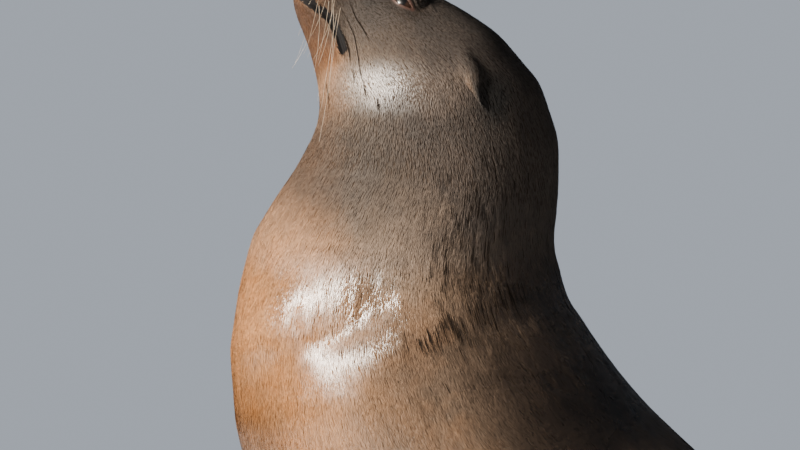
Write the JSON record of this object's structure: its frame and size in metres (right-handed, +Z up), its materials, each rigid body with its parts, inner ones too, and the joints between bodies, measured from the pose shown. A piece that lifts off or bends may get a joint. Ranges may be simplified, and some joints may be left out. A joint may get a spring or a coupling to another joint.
{
  "type": "sea lion",
  "caption": "Life-size still model of a sea lion sitting up on its fore flippers, chest out and head thrown back, resting on flippers, belly and hind feet.",
  "frame": {"origin": "on the floor, under the middle of the animal's overall length and on its plane of symmetry", "axes": "+Z up, -Y the way the chest faces, +X the animal's left side"},
  "size_m": [0.8994, 1.299, 0.8423],
  "materials": {
    "coat": "short wet fur, glossy where it lies flat",
    "flipper_skin": "bare dark skin, satin",
    "nose_skin": "moist pebbled skin",
    "eyeball": "wet, polished",
    "nail": "horn, satin"
  },
  "bodies": {
    "root": {"chest": "coat", "ear_left": "coat", "ear_right": "coat", "eye_left": "eyeball", "eye_right": "eyeball", "fore_flipper_left": "flipper_skin", "fore_flipper_right": "flipper_skin", "forearm_left": "coat", "forearm_right": "coat", "head": "coat", "hind_flipper_left": "flipper_skin", "hind_flipper_right": "flipper_skin", "hind_nail_2_left": "nail", "hind_nail_2_right": "nail", "hind_nail_3_left": "nail", "hind_nail_3_right": "nail", "hind_nail_4_left": "nail", "hind_nail_4_right": "nail", "hips": "coat", "lower_jaw": "coat", "neck": "coat", "nose": "nose_skin", "tail": "coat", "trunk": "coat"}
  },
  "joints": []
}
